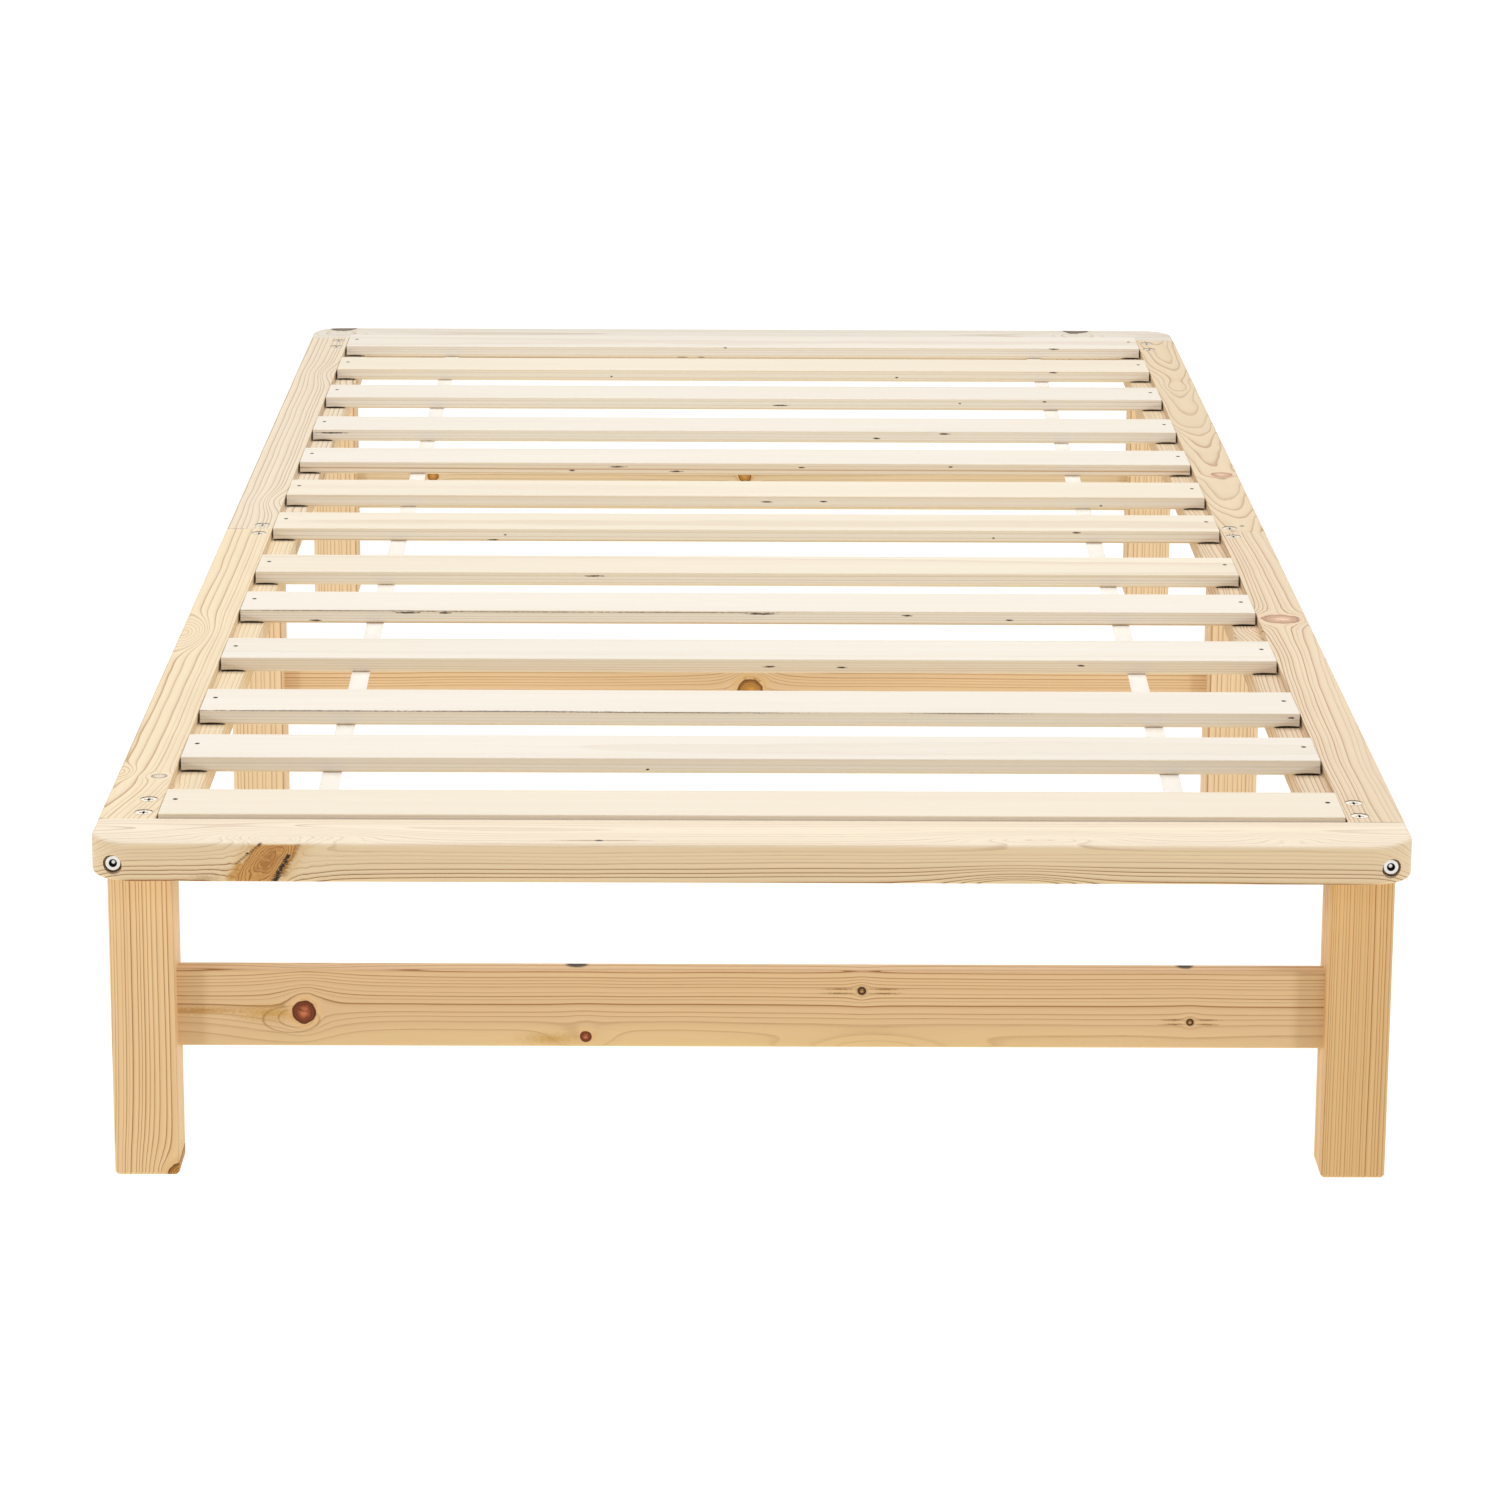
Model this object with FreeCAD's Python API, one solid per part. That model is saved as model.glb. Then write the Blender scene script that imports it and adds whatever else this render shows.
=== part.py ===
# Low pine bed frame: a flat frame with rounded corners on six legs, with nailed slats on two straps.
# X runs across the bed, Y from its front end to its rear end, Z up from the floor. Millimetres.
import FreeCAD, Part
import math
import os

# Top frame
bed_length = 2000.0
bed_width = 900.0
rail_width = 60.0
rail_thickness = 28.0
rail_round = 3.0
corner_radius = 30.0
ledge_width = 20.0

# Legs, and the stretcher board between the legs of each pair
leg_height = 235.0
leg_size = 45.0
leg_inset = 4.0
leg_from_end_rail = 12.0
leg_round = 2.5
foot_chamfer = 2.0
stretcher_thickness = 18.0
stretcher_width = 56.0
stretcher_floor_gap = 91.0
stretcher_round = 2.0

# Slats: shifts off an even row, counted from the front, are shares of the pitch
slat_width = 65.0
slat_thickness = 11.5
slat_proud = 3.5
slat_end_gap = 1.8
slat_row_gap = 1.0
slat_upper_round = 1.0
slat_lower_round = 2.4
slat_shift_shares = (0, 0.012, -0.088, 0.005, 0.088, 0.004, 0.135, 0.068, 0.035, 0.05, 0.135, 0.136, 0)

# Straps under the slats
strap_width = 14.0
strap_thickness = 1.0
strap_from_slat_end = 108.0
strap_sag = 3.0

# Staples that hold the straps to the slats
staple_crown = 10.0
staple_wire = 1.2
staple_bite_share = 0.6

# Flat-sided nails with T heads that hold the slats to the ledges
nail_width = 1.8
nail_thickness = 2.0
nail_head_width = 3.0
nail_head_height = 1.2
nail_tip = 2.5
nail_sink = 1.0
nail_from_slat_end = 8.0
nail_behind_centre = 5.0
nail_bite_share = 0.75

# Screws down through the side rails into the legs
screw_diameter = 6.0
screw_head_diameter = 12.0
screw_tip = 8.0
screw_sink = 0.4
screw_bite = 45.0
screw_from_leg_face = 5.5
screw_recess_width = 1.6
screw_recess_span = 6.4
screw_recess_depth = 2.2

# Bolts through the rounded corners into barrel nuts in the side rails
bolt_diameter = 6.0
bolt_head_diameter = 10.0
bolt_head_height = 6.0
bolt_socket_size = 5.0
bolt_socket_depth = 3.0
bolt_from_side = 16.4
bolt_from_bottom = 11.0
bolt_past_nut = 3.0
counterbore_diameter = 13.5
counterbore_depth = 14.0
nut_diameter = 10.0
nut_length = 14.0
nut_from_rail_end = 26.0
nut_slot_width = 1.6
nut_slot_depth = 1.5

# Dowels of the corners, the seams and the stretchers
dowel_diameter = 8.0
dowel_length = 40.0
dowel_chamfer = 1.0
stretcher_dowel_share = 0.25

# Fits and cuts
hole_clearance = 0.1
hole_end_clearance = 1.0
overrun = 5.0
tiny = 0.001

# Places that follow from the sizes
half_length = bed_length / 2
half_width = bed_width / 2
frame_top = leg_height + rail_thickness
rail_end = half_length - rail_width
rail_middle = half_width - rail_width / 2
ledge_edge = half_width - rail_width + ledge_width
rebate_depth = slat_thickness - slat_proud
ledge_thickness = rail_thickness - rebate_depth
slat_bottom = frame_top - rebate_depth
slat_top = slat_bottom + slat_thickness
slat_half_length = ledge_edge - slat_end_gap
slat_count = len(slat_shift_shares)
slat_row_end = rail_end - slat_row_gap - slat_width / 2
slat_pitch = 2 * slat_row_end / (slat_count - 1)
slat_places = [slat_pitch * (index + share) - slat_row_end
               for index, share in enumerate(slat_shift_shares)]
nail_line = slat_half_length - nail_from_slat_end
strap_line = slat_half_length - strap_from_slat_end
leg_row = rail_end - leg_from_end_rail - leg_size / 2
leg_rows = {"front": -leg_row, "middle": 0, "rear": leg_row}
leg_line = half_width - leg_inset - leg_size / 2
leg_inner_face = leg_line - leg_size / 2
screw_offset = leg_size / 2 - screw_from_leg_face
bolt_line = half_width - bolt_from_side
bolt_height = leg_height + bolt_from_bottom
dowel_line = (rail_middle + nail_line) / 2
dowel_height = leg_height + ledge_thickness / 2
stretcher_middle = stretcher_floor_gap + stretcher_width / 2
sides = {"left": -1, "right": 1}
ends = {"front": -1, "rear": 1}

ORIGIN = FreeCAD.Vector(0, 0, 0)
ALONG_X = FreeCAD.Vector(1, 0, 0)
ALONG_Y = FreeCAD.Vector(0, 1, 0)
UP = FreeCAD.Vector(0, 0, 1)
DOWN = FreeCAD.Vector(0, 0, -1)
FULL_TURN = 360
HEX_SIDES = 6


def point(x, y, z):
    return FreeCAD.Vector(x, y, z)


def block(low, high):
    """Box between its lowest and highest corners."""
    size = high - low
    return Part.makeBox(size.x, size.y, size.z, low)


def board(low, high, grain, edge_round):
    """Box whose four edges along the grain are rounded."""
    blank = block(low, high)
    long_edges = [edge for edge in blank.Edges
                  if edge.tangentAt(edge.FirstParameter).cross(grain).Length < tiny]
    return blank.makeFillet(edge_round, long_edges)


def turned(outline):
    """Solid turned about Z from (radius, height) points that begin and end on the axis."""
    points = [point(radius, 0, height) for radius, height in outline]
    return Part.Face(Part.makePolygon(points + points[:1])).revolve(ORIGIN, UP, FULL_TURN)


def placed(shape, position, direction):
    """Copy of a shape made about Z, moved to a position and turned to a direction."""
    copy = shape.copy()
    copy.Placement = FreeCAD.Placement(position, FreeCAD.Rotation(UP, direction))
    return copy


# Fasteners are made about Z, with the head's outer face at zero and the tip upwards.
# Each comes with the hole that it needs, which is larger by the clearance.

def nail():
    """Nail seen along Y, with a T head and a chisel tip."""
    length = slat_thickness - nail_sink + nail_bite_share * ledge_thickness
    head = nail_head_width / 2
    shank = nail_width / 2
    half = [(head, 0), (head, nail_head_height), (shank, nail_head_height), (shank, length - nail_tip)]
    outline = half + [(0, length)] + [(-x, z) for x, z in reversed(half)] + half[:1]
    start = -nail_thickness / 2
    face = Part.Face(Part.makePolygon([point(x, start, z) for x, z in outline]))
    side = nail_thickness / 2 + hole_clearance
    wide = head + hole_clearance
    narrow = shank + hole_clearance
    head_slot = block(point(-wide, -side, -overrun), point(wide, side, nail_head_height))
    shank_slot = block(point(-narrow, -side, 0), point(narrow, side, length + hole_end_clearance))
    return face.extrude(ALONG_Y * nail_thickness), head_slot.fuse(shank_slot)


def leg_screw():
    length = rail_thickness - screw_sink + screw_bite
    radius = screw_diameter / 2
    head = screw_head_diameter / 2
    cone = head - radius
    body = turned([(0, 0), (head, 0), (radius, cone), (radius, length - screw_tip), (0, length)])
    half_slot = screw_recess_width / 2
    half_span = screw_recess_span / 2
    cross = [block(point(-half_span, -half_slot, 0), point(half_span, half_slot, screw_recess_depth)),
             block(point(-half_slot, -half_span, 0), point(half_slot, half_span, screw_recess_depth))]
    wide = head + hole_clearance
    narrow = radius + hole_clearance
    bottom = length + hole_end_clearance
    hole = turned([(0, -overrun), (wide, -overrun), (wide, 0), (narrow, cone),
                   (narrow, bottom), (0, bottom)])
    return body.cut(cross), hole


def corner_bolt():
    reach = rail_width - counterbore_depth + nut_from_rail_end
    end = bolt_head_height + reach + nut_diameter / 2 + bolt_past_nut
    radius = bolt_diameter / 2
    head = bolt_head_diameter / 2
    body = turned([(0, 0), (head, 0), (head, bolt_head_height), (radius, bolt_head_height),
                   (radius, end), (0, end)])
    corner = bolt_socket_size / 2 / math.cos(math.pi / HEX_SIDES)
    angles = [2 * math.pi * side / HEX_SIDES for side in range(HEX_SIDES + 1)]
    hexagon = Part.makePolygon([point(corner * math.cos(a), corner * math.sin(a), 0) for a in angles])
    socket = Part.Face(hexagon).extrude(UP * bolt_socket_depth)
    wide = counterbore_diameter / 2
    narrow = radius + hole_clearance
    mouth = bolt_head_height - counterbore_depth - overrun
    bottom = end + hole_end_clearance
    hole = turned([(0, mouth), (wide, mouth), (wide, bolt_head_height), (narrow, bolt_head_height),
                   (narrow, bottom), (0, bottom)])
    return body.cut(socket), hole


# Barrel nuts and dowels are made about Z, with the middle at zero.

def barrel_nut():
    radius = nut_diameter / 2
    half = nut_length / 2
    body = Part.makeCylinder(radius, nut_length, UP * -half, UP)
    bore = Part.makeCylinder(bolt_diameter / 2 + hole_clearance, nut_diameter + 2 * overrun,
                             ALONG_Y * -(radius + overrun), ALONG_Y)
    slot = block(point(-radius, -nut_slot_width / 2, -half),
                 point(radius, nut_slot_width / 2, nut_slot_depth - half))
    mouth = -bolt_from_bottom - overrun
    hole_top = half + hole_end_clearance
    hole = Part.makeCylinder(radius + hole_clearance, hole_top - mouth, UP * mouth, UP)
    return body.cut([bore, slot]), hole


def dowel():
    radius = dowel_diameter / 2
    half = dowel_length / 2
    body = turned([(0, -half), (radius - dowel_chamfer, -half), (radius, dowel_chamfer - half),
                   (radius, half - dowel_chamfer), (radius - dowel_chamfer, half), (0, half)])
    hole_half = half + hole_end_clearance
    hole = Part.makeCylinder(radius + hole_clearance, 2 * hole_half, UP * -hole_half, UP)
    return body, hole


def staple():
    """Staple seen along Y, with the crown's upper face at zero and its legs up."""
    half = staple_crown / 2
    inner = half - staple_wire
    rise = strap_thickness + staple_bite_share * slat_thickness
    outline = [(-half, -staple_wire), (half, -staple_wire), (half, rise), (inner, rise),
               (inner, 0), (-inner, 0), (-inner, rise), (-half, rise), (-half, -staple_wire)]
    start = -staple_wire / 2
    face = Part.Face(Part.makePolygon([point(x, start, z) for x, z in outline]))
    side = staple_wire / 2 + hole_clearance
    top = rise + hole_end_clearance
    slots = [block(point(low - hole_clearance, -side, 0),
                   point(low + staple_wire + hole_clearance, side, top)) for low in (-half, inner)]
    return face.extrude(ALONG_Y * staple_wire), Part.makeCompound(slots)


def repeated(maker, places):
    """Every fastener of one kind, and every hole for one, at (position, direction) places."""
    body, hole = maker()
    bodies = [placed(body, *place) for place in places]
    holes = [placed(hole, *place) for place in places]
    return bodies, holes


def nail_places():
    height = slat_top - nail_sink
    return [(point(side * nail_line, y + nail_behind_centre, height), DOWN)
            for y in slat_places for side in sides.values()]


def screw_places():
    height = frame_top - screw_sink
    return [(point(side * rail_middle, row + step * screw_offset, height), DOWN)
            for row in leg_rows.values() for side in sides.values() for step in ends.values()]


def bolt_places():
    head = half_length - counterbore_depth + bolt_head_height
    return [(point(side * bolt_line, end * head, bolt_height), ALONG_Y * -end)
            for side in sides.values() for end in ends.values()]


def nut_places():
    row = rail_end - nut_from_rail_end
    return [(point(side * bolt_line, end * row, bolt_height), UP)
            for side in sides.values() for end in ends.values()]


def corner_dowel_places():
    return [(point(side * dowel_line, end * rail_end, dowel_height), ALONG_Y)
            for side in sides.values() for end in ends.values()]


def seam_dowel_places():
    return [(point(side * line, 0, dowel_height), ALONG_Y)
            for side in sides.values() for line in (bolt_line, dowel_line)]


def stretcher_dowel_places():
    step = stretcher_dowel_share * stretcher_width
    return [(point(side * leg_inner_face, row, stretcher_middle + end * step), ALONG_X)
            for row in leg_rows.values() for side in sides.values() for end in ends.values()]


def staple_places():
    height = slat_bottom - strap_thickness
    return [(point(side * strap_line, y, height), UP)
            for y in slat_places for side in sides.values()]


def end_rail(end):
    """Rail across one end, with its two outer corners and its outer rims rounded."""
    blank = block(point(-half_width, -half_length, leg_height), point(half_width, -rail_end, frame_top))
    corners = [edge for edge in blank.Edges
               if edge.BoundBox.ZLength > tiny and edge.CenterOfMass.y < -rail_end - tiny]
    blank = blank.makeFillet(corner_radius, corners)
    rims = [edge for edge in blank.Edges
            if edge.BoundBox.ZLength < tiny and edge.CenterOfMass.y < -rail_end - tiny]
    rail = blank.makeFillet(rail_round, rims)
    return rail if end < 0 else rail.mirror(ORIGIN, ALONG_Y)


def side_rail(side, end):
    """Half of a side rail, from its end rail to the seam, with the ledge that the slats lie on."""
    rail = board(point(half_width - rail_width, 0, leg_height), point(half_width, rail_end, frame_top),
                 ALONG_Y, rail_round)
    rebate = block(point(half_width - rail_width - overrun, -overrun, slat_bottom),
                   point(ledge_edge, rail_end + overrun, frame_top + overrun))
    rail = rail.cut(rebate)
    rail = rail if side > 0 else rail.mirror(ORIGIN, ALONG_X)
    return rail if end > 0 else rail.mirror(ORIGIN, ALONG_Y)


def leg(side, row):
    half = leg_size / 2
    middle = side * leg_line
    post = board(point(middle - half, row - half, 0), point(middle + half, row + half, leg_height),
                 UP, leg_round)
    foot_edges = [edge for edge in post.Edges if edge.BoundBox.ZMax < tiny]
    return post.makeChamfer(foot_chamfer, foot_edges)


def stretcher(row):
    half = stretcher_thickness / 2
    return board(point(-leg_inner_face, row - half, stretcher_floor_gap),
                 point(leg_inner_face, row + half, stretcher_floor_gap + stretcher_width),
                 ALONG_X, stretcher_round)


def slat(place):
    """Slat whose long edges are eased a little above and more below."""
    half = slat_width / 2
    body = block(point(-slat_half_length, place - half, slat_bottom),
                 point(slat_half_length, place + half, slat_top))
    for height, edge_round in ((slat_bottom, slat_lower_round), (slat_top, slat_upper_round)):
        edges = [edge for edge in body.Edges
                 if edge.BoundBox.XLength > slat_half_length and abs(edge.CenterOfMass.z - height) < tiny]
        body = body.makeFillet(edge_round, edges)
    return body


def strap_path(x, z):
    """Line that lies flat under each slat and sags in an arc between two."""
    half = slat_width / 2 - slat_lower_round
    edges = []
    for index, place in enumerate(slat_places):
        edges.append(Part.makeLine(point(x, place - half, z), point(x, place + half, z)))
        if index + 1 < slat_count:
            start = place + half
            stop = slat_places[index + 1] - half
            low = point(x, (start + stop) / 2, z - strap_sag)
            edges.append(Part.Arc(point(x, start, z), low, point(x, stop, z)).toShape())
    return edges


def strap(side):
    x = side * strap_line - strap_width / 2
    lower = slat_bottom - strap_thickness
    edges = strap_path(x, slat_bottom) + strap_path(x, lower)
    half = slat_width / 2 - slat_lower_round
    for y in (slat_places[0] - half, slat_places[-1] + half):
        edges.append(Part.makeLine(point(x, y, lower), point(x, y, slat_bottom)))
    outline = Part.Wire(Part.sortEdges(edges)[0])
    return Part.Face(outline).extrude(ALONG_X * strap_width)


def build():
    """Every node by name: boards with their holes, then the groups of fasteners."""
    nails, nail_holes = repeated(nail, nail_places())
    screws, screw_holes = repeated(leg_screw, screw_places())
    bolts, bolt_holes = repeated(corner_bolt, bolt_places())
    nuts, nut_holes = repeated(barrel_nut, nut_places())
    corner_dowels, corner_dowel_holes = repeated(dowel, corner_dowel_places())
    seam_dowels, seam_dowel_holes = repeated(dowel, seam_dowel_places())
    stretcher_dowels, stretcher_dowel_holes = repeated(dowel, stretcher_dowel_places())
    staples, staple_slots = repeated(staple, staple_places())
    end_rail_holes = bolt_holes + corner_dowel_holes
    side_rail_holes = end_rail_holes + nut_holes + seam_dowel_holes + screw_holes + nail_holes

    nodes = {}
    for end_name, end in ends.items():
        nodes[f"{end_name}_rail"] = end_rail(end).cut(end_rail_holes)
        for side_name, side in sides.items():
            nodes[f"{side_name}_{end_name}_side_rail"] = side_rail(side, end).cut(side_rail_holes)
    for row_name, row in leg_rows.items():
        nodes[f"{row_name}_stretcher"] = stretcher(row).cut(stretcher_dowel_holes)
        for side_name, side in sides.items():
            nodes[f"{row_name}_{side_name}_leg"] = leg(side, row).cut(screw_holes + stretcher_dowel_holes)
    for number, place in enumerate(slat_places, start=1):
        nodes[f"slat_{number:02d}"] = slat(place).cut(nail_holes + staple_slots)
    for side_name, side in sides.items():
        nodes[f"{side_name}_strap"] = strap(side).cut(staple_slots)
    groups = {"slat_nails": nails, "leg_screws": screws, "corner_bolts": bolts, "barrel_nuts": nuts,
              "corner_dowels": corner_dowels, "seam_dowels": seam_dowels,
              "stretcher_dowels": stretcher_dowels, "strap_staples": staples}
    for name, solids in groups.items():
        nodes[name] = Part.makeCompound(solids)
    return nodes


os.makedirs("parts", exist_ok=True)
for node_name, shape in build().items():
    shape.exportStep(f"parts/{node_name}.step")
    print(node_name, len(shape.Solids), round(shape.Volume), shape.isValid())
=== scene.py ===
"""A low pine bed frame: wood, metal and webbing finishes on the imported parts, floor, light and camera."""
import math
import random

import bpy
from mathutils import Matrix, Vector


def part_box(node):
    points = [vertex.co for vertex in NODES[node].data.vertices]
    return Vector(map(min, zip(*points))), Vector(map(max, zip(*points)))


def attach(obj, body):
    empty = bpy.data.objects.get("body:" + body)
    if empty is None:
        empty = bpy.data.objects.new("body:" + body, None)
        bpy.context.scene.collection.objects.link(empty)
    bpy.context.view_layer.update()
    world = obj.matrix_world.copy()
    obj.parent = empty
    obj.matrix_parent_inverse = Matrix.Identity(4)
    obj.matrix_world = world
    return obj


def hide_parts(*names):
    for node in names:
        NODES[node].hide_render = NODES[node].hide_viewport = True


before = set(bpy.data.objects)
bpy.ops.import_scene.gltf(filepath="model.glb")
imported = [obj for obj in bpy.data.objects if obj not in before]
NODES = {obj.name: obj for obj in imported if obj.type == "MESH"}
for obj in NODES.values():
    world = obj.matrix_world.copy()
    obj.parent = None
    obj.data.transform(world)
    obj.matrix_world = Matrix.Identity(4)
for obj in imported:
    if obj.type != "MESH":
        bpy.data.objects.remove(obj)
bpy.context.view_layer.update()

MM = 0.001

CAMERA_PLACE = (-0.0221, -4.3276, 1.2016)
CAMERA_PITCH_DOWN = math.radians(14.702)
CAMERA_YAW = math.radians(-0.345)
CAMERA_ROLL = math.radians(0.272)
CAMERA_LENS_MM = 122.634
CAMERA_SENSOR_MM = 36.0

FLOOR_SIZE = 30.0
FLOOR_DROP = 0.2 * MM
FLOOR_WHITE = (1.02, 1.02, 1.0, 1.0)
FLOOR_GLOW = (0.975, 0.86, 0.6, 1.0)
FLOOR_ALBEDO = (0.12, 0.115, 0.11, 1.0)
FLOOR_ROUGHNESS = 0.9
ROOM_WHITE = (1.0, 1.0, 1.0, 1.0)
ROOM_DIM = (0.2, 0.18, 0.14, 1.0)
OVERHEAD_LAMP = {"place": (0, 0.1, 3.4), "target": (0, 0.1, 0), "size": 4.8,
                 "colour": (0.79, 0.862, 0.985), "power": 205}
FRONT_LAMP = {"target": (0, -0.9, 0.2), "size": 0.6, "colour": (0.94, 0.94, 1.01), "power": 46}
FRONT_LAMP_ASIDE = 3.6
FRONT_LAMP_Y = -2.9
FRONT_LAMP_HEIGHT = 1.1

# Noise: lumps a metre along each axis (or a ring, for the years) and octaves of finer detail
DRIFT = ((1.5, 0, 0), 1.0)
WAVE = ((8, 22, 22), 1.5)
YEARS = ((0.37, 0, 0), 1.0)
FIBRE = ((22, 900, 900), 3.0)
STREAK = ((2.4, 130, 130), 2.0)
PATCH = ((1.8, 13, 13), 2.0)
CANAL = ((48, 1000, 1000), 0.0)
KNOT_OUTLINE = ((90, 90, 90), 3.0)
KNOT_HEART = ((260, 260, 260), 2.0)
TEAR = ((380, 900, 900), 2.0)
SCRATCH = ((2400, 500, 500), 2.0)
CLOUD = ((220, 220, 220), 3.0)
FUZZ = ((900, 900, 900), 3.0)
NOISE_MIDDLE = 0.5
NOISE_SWING = 2.0

# A year's growth from 0 to 1: it darkens slowly, then fast, and ends in a step back to pale
SLOW_DARKENING = (0.3, 0.95)
FAST_DARKENING = (0.72, 0.93)
YEAR_END = (0.95, 1.0)
SLOW_SHARE = 0.25
FAST_SHARE = 0.75
YEARS_SHIFT = 2.4

# Shares of the late wood's colour, and the ranges that chance and noise change its strength and tone by
BASE_SHARE = 0.06
STREAK_SHARE = 0.16
FIBRE_SHARE = 0.14
CANAL_SHARE = 0.14
CANAL_LEVELS = (0.66, 0.74)
RING_STRENGTH = (0.4, 1.0)
PATCH_STRENGTH = (0.6, 1.4)
PATCH_TONE = (0.95, 1.05)
PLAIN_CONTRAST = 0.2
FIBRE_RELIEF = 0.6
LATE_RELIEF = 0.4

# A knot: a reach is a share of its radius
KNOT_RING = 1.7 * MM
KNOT_RING_LINE = (0.3, 1.0)
KNOT_RING_SHARE = 0.8
KNOT_ROUGHNESS = 0.5
GRAIN_BEND = 1.15
HEART_REACH = (0.15, 0.62)
HEART_LEVELS = (0.3, 0.6)
RIM_REACH = (0.66, 0.92)
CORE_REACH = (0.94, 1.03)
HALO_REACH = (1.0, 1.7)
HALO_SHARE = 0.55
CEILING_FADE = 1.5 * MM
NO_CEILING = 1000

# A fleck, in shares of its half sizes
HOLLOW_FADE = 0.1
NOT_HOLLOW = -1.0

RELIEF_DEPTH = 0.25 * MM
WOOD_ROUGHNESS = (0.62, 0.48)
WOOD_BUMP = 0.25
WOOD_SPECULAR = 0.35
STEEL_BUMP = 0.12
STEEL_CLOUD_TONE = (0.8, 1.12)
BOLT_ROUGHNESS = (0.24, 0.38)
SCREW_ROUGHNESS = (0.34, 0.48)
ZINC_ROUGHNESS = (0.22, 0.36)
NAIL_ROUGHNESS = (0.5, 0.65)
WEFT_PITCH = 1.5 * MM
WARP_PITCH = 1.6 * MM
WEAVE_RELIEF = 0.7
FUZZ_RELIEF = 0.3
WEBBING_LEVELS = (0.15, 0.75)
WEBBING_ROUGHNESS = (0.9, 0.75)
WEBBING_BUMP = 0.6

# The order of a place's numbers as along, across and through the grain
GRAIN_ORDER = {"X": (0, 1, 2), "Y": (1, 0, 2), "Z": (2, 0, 1)}
ACROSS_GRAIN = (0, 1, 1)

# Each board's seed moves it that many steps along the noise
SEED_STEP = 10.0
RAIL_SEED = 1
LEG_SEED = 10
STRETCHER_SEED = 20
SLAT_SEED = 30
DOWEL_SEED = 60
SLAT_DRAWS = 7


def srgb(red, green, blue):
    """A linear colour from a screen's 0 to 255 values."""
    def linear(value):
        share = value / 255
        return share / 12.92 if share <= 0.04045 else ((share + 0.055) / 1.055) ** 2.4
    return (linear(red), linear(green), linear(blue), 1.0)


EARLY = {
    "rail": srgb(234, 215, 185), "cream_rail": srgb(229, 206, 167), "soft_rail": srgb(225, 205, 174),
    "warm_rail": srgb(219, 195, 160), "loop_rail": srgb(219, 195, 158), "grey_rail": srgb(218, 206, 186),
    "leg": srgb(243, 214, 172), "dark_leg": srgb(230, 195, 145), "inner_leg": srgb(243, 219, 186),
    "stretcher": srgb(232, 203, 165), "rear_stretcher": srgb(230, 211, 181),
    "slat": srgb(228, 216, 196), "cream_slat": srgb(228, 213, 187), "dowel": srgb(222, 188, 146)}
LATE = {
    "rail": srgb(150, 104, 62), "cream_rail": srgb(176, 138, 94), "soft_rail": srgb(166, 134, 100),
    "warm_rail": srgb(162, 114, 72), "loop_rail": srgb(160, 116, 72), "grey_rail": srgb(178, 148, 114),
    "leg": srgb(166, 112, 60), "dark_leg": srgb(162, 110, 56), "inner_leg": srgb(166, 117, 67),
    "stretcher": srgb(164, 116, 68), "rear_stretcher": srgb(164, 119, 73),
    "slat": srgb(184, 146, 106), "cream_slat": srgb(184, 146, 102), "dowel": srgb(188, 146, 104)}
PITCH_DARK = srgb(58, 40, 24)
BARK = srgb(118, 78, 38)
BARK_SHADE = srgb(36, 22, 10)
PALE_YELLOW = srgb(240, 214, 160)
# Painted light on the long faces of most slats
PAINTED_LIGHT_PALE = srgb(230, 231, 228)
AMBER = srgb(198, 152, 64)
GOLD = srgb(186, 132, 44)
STREAK_BROWN = srgb(134, 94, 44)
# Painted shade in holes and gaps, round the nails and where the slats lie on the ledges, and the dark of the
# rails' joints and seam
SHADE_AND_JOINT_DARK = srgb(40, 30, 20)
# Painted shade in the recesses of the screws and bolts
PAINTED_RECESS_SHADE = srgb(34, 32, 30)
BRIGHT_ZINC = srgb(230, 227, 222)
SCREW_ZINC = srgb(234, 222, 203)
NAIL_STEEL = srgb(30, 27, 24)
WEBBING_SHADE = srgb(206, 196, 180)
WEBBING_WHITE = srgb(232, 222, 206)

# Each kind of knot's rim, body, heart and halo
KNOT_TONES = {
    "red": (srgb(84, 36, 12), srgb(126, 58, 22), srgb(206, 122, 86), srgb(240, 198, 144)),
    "pin": (srgb(46, 28, 12), srgb(84, 54, 26), srgb(206, 162, 104), srgb(196, 150, 92)),
    "branch": (srgb(138, 88, 44), srgb(206, 158, 98), srgb(168, 116, 64), srgb(214, 178, 122)),
    "pale": (srgb(136, 96, 66), srgb(198, 154, 122), srgb(228, 194, 160), srgb(222, 188, 150)),
    "ring": (srgb(50, 36, 22), srgb(230, 208, 176), srgb(226, 202, 168), srgb(230, 208, 176)),
    "dark": (srgb(44, 34, 24), srgb(112, 90, 68), srgb(146, 116, 84), srgb(206, 184, 154)),
    "gold": (srgb(104, 62, 16), srgb(192, 138, 64), srgb(208, 156, 82), srgb(222, 182, 122)),
}
KNOT_EDGE = {"branch": 0.15, "pale": 0.6}
USUAL_KNOT_EDGE = 0.85

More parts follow.
